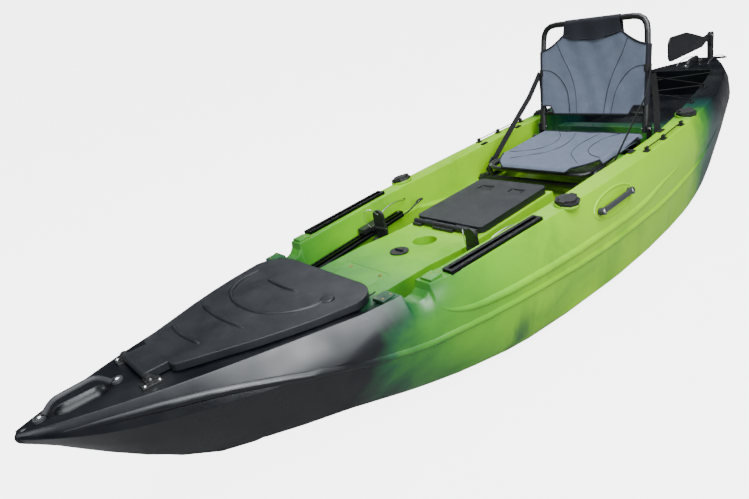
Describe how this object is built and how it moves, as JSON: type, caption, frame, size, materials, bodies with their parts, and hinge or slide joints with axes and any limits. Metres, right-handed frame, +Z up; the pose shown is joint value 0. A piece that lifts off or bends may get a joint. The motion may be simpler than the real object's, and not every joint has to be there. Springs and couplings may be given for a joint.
{
  "type": "sit-on-top fishing kayak",
  "caption": "Sit-on-top fishing kayak with a hinged bow hatch, console hatch, folding frame seat, rod holders, gear tracks and a foot-steered flip-up rudder.",
  "frame": {"origin": "centre of the overall length and width, on the ground plane under the keel", "axes": "+X to port, +Y towards the stern, +Z up"},
  "size_m": [0.9366, 3.724, 0.8677],
  "materials": {
    "hull_plastic": "marbled black, green and lime rotomoulded polyethylene with a soft gloss",
    "lid_plastic": "matte black moulded plastic",
    "black_plastic": "satin black moulded nylon",
    "blade_plastic": "black moulded plastic",
    "handle_rubber": "dark grey soft-grip rubber",
    "rubber": "black moulded rubber",
    "steel": "polished stainless steel",
    "brass": "threaded brass",
    "anodised": "black anodised aluminium",
    "powder_coat": "black powder coat on aluminium tube",
    "cable": "fine stainless wire rope in a clear sheath",
    "seat_mesh": "grey open mesh fabric, stitched",
    "band_fabric": "dark navy woven nylon",
    "webbing": "black polypropylene webbing",
    "bungee": "black braided shock cord"
  },
  "bodies": {
    "root": {"kayak_hull": "hull_plastic", "brass_inserts": "brass", "bow_handle": "handle_rubber", "bow_handle_bolts": "steel", "hatch_brackets": "black_plastic", "hatch_bracket_bolts": "steel", "hatch_pin": "steel", "gear_track_port": "anodised", "gear_track_starboard": "anodised", "track_screws": "steel", "rod_holders": "black_plastic", "side_handles": "handle_rubber", "side_handle_bolts": "steel", "foot_rails": "anodised", "rail_screws": "steel", "steering_cable_port": "cable", "steering_cable_starboard": "cable", "console_plug": "black_plastic", "pod_hinge": "black_plastic", "seat_base": "powder_coat", "seat_pan_frame": "powder_coat", "seat_pan_mesh": "seat_mesh", "seat_pivot_bolts": "steel", "seat_strap_port": "webbing", "seat_strap_starboard": "webbing", "seat_buckles": "black_plastic", "seat_hold_downs": "black_plastic", "paddle_keepers": "bungee", "keeper_hooks": "black_plastic", "tank_bungee": "bungee", "tank_bungee_eyes": "black_plastic", "stern_handle": "handle_rubber", "stern_handle_bolts": "steel", "rudder_bracket": "anodised", "rudder_bolts": "steel"},
    "bow_hatch": {"hatch_lid": "lid_plastic"},
    "console_hatch": {"pod_lid": "lid_plastic"},
    "latch_port": {"pod_latch_port": "black_plastic"},
    "latch_starboard": {"pod_latch_starboard": "black_plastic"},
    "cap_front_port": {"rod_cap_front_port": "rubber"},
    "cap_front_starboard": {"rod_cap_front_starboard": "rubber"},
    "cap_rear_port": {"rod_cap_rear_port": "rubber"},
    "cap_rear_starboard": {"rod_cap_rear_starboard": "rubber"},
    "slide_port": {"foot_slide_port": "black_plastic", "toe_pin_port": "steel"},
    "slide_starboard": {"foot_slide_starboard": "black_plastic", "toe_pin_starboard": "steel"},
    "pedal_port": {"toe_pedal_port": "black_plastic"},
    "pedal_starboard": {"toe_pedal_starboard": "black_plastic"},
    "seat_back": {"seat_back_frame": "powder_coat", "seat_back_mesh": "seat_mesh", "seat_back_band": "band_fabric"},
    "rudder": {"rudder_post": "steel", "rudder_head": "black_plastic", "blade_bolt": "steel"},
    "blade": {"rudder_blade": "blade_plastic"}
  },
  "joints": [
    {"name": "bow_hatch_hinge", "type": "hinge", "parent": "root", "child": "bow_hatch", "pos_m": [0, -1.58109, 0.47024], "axis": [1, 0, 0], "range_deg": [0, 105]},
    {"name": "console_hatch_hinge", "type": "hinge", "parent": "root", "child": "console_hatch", "pos_m": [0, -0.429, 0.358], "axis": [1, 0, 0], "range_deg": [0, 110]},
    {"name": "console_latch_port", "type": "hinge", "parent": "console_hatch", "child": "latch_port", "pos_m": [0.074, -0.107, 0.3658], "axis": [1, 0, 0], "range_deg": [0, 60]},
    {"name": "console_latch_starboard", "type": "hinge", "parent": "console_hatch", "child": "latch_starboard", "pos_m": [-0.074, -0.107, 0.3658], "axis": [1, 0, 0], "range_deg": [0, 60]},
    {"name": "rod_cap_front_port_hinge", "type": "hinge", "parent": "root", "child": "cap_front_port", "pos_m": [0.40393, -0.213, 0.44351], "axis": [-0.9903, 0, 0.1392], "range_deg": [0, 110]},
    {"name": "rod_cap_front_starboard_hinge", "type": "hinge", "parent": "root", "child": "cap_front_starboard", "pos_m": [-0.40393, -0.213, 0.44351], "axis": [-0.9903, 0, -0.1392], "range_deg": [0, 110]},
    {"name": "rod_cap_rear_port_hinge", "type": "hinge", "parent": "root", "child": "cap_rear_port", "pos_m": [0.35794, 0.752, 0.4417], "axis": [-0.9903, 0, 0.1392], "range_deg": [0, 110]},
    {"name": "rod_cap_rear_starboard_hinge", "type": "hinge", "parent": "root", "child": "cap_rear_starboard", "pos_m": [-0.35794, 0.752, 0.4417], "axis": [-0.9903, 0, -0.1392], "range_deg": [0, 110]},
    {"name": "foot_slide_port", "type": "slide", "parent": "root", "child": "slide_port", "axis": [0.1099, 0.9939, 0], "range_m": [-0.2, 0.1], "deforming": ["steering_cable_port"]},
    {"name": "foot_slide_starboard", "type": "slide", "parent": "root", "child": "slide_starboard", "axis": [-0.1099, 0.9939, 0], "range_m": [-0.2, 0.1], "deforming": ["steering_cable_starboard"]},
    {"name": "rudder_steer", "type": "hinge", "parent": "root", "child": "rudder", "pos_m": [0, 1.828, 0.4], "axis": [0, 0, 1], "range_deg": [-30, 30]},
    {"name": "toe_pedal_port_pivot", "type": "hinge", "parent": "slide_port", "child": "pedal_port", "pos_m": [0.23193, -0.54023, 0.3603], "axis": [0.9939, -0.1099, 0], "range_deg": [-20, 20]},
    {"name": "toe_pedal_starboard_pivot", "type": "hinge", "parent": "slide_starboard", "child": "pedal_starboard", "pos_m": [-0.23193, -0.54023, 0.3603], "axis": [0.9939, 0.1099, 0], "range_deg": [-20, 20]},
    {"name": "rudder_lift", "type": "hinge", "parent": "rudder", "child": "blade", "pos_m": [0, 1.828, 0.53], "axis": [1, 0, 0], "range_deg": [-230, 0]},
    {"name": "seat_back_fold", "type": "hinge", "parent": "root", "child": "seat_back", "pos_m": [0, 0.576, 0.406], "axis": [1, 0, 0], "range_deg": [-14, 78], "deforming": ["seat_strap_port", "seat_strap_starboard"]}
  ],
  "couplings": [
    {"joint": "toe_pedal_port_pivot", "follows": "rudder_steer", "ratio": -0.6},
    {"joint": "toe_pedal_starboard_pivot", "follows": "rudder_steer", "ratio": 0.6}
  ]
}
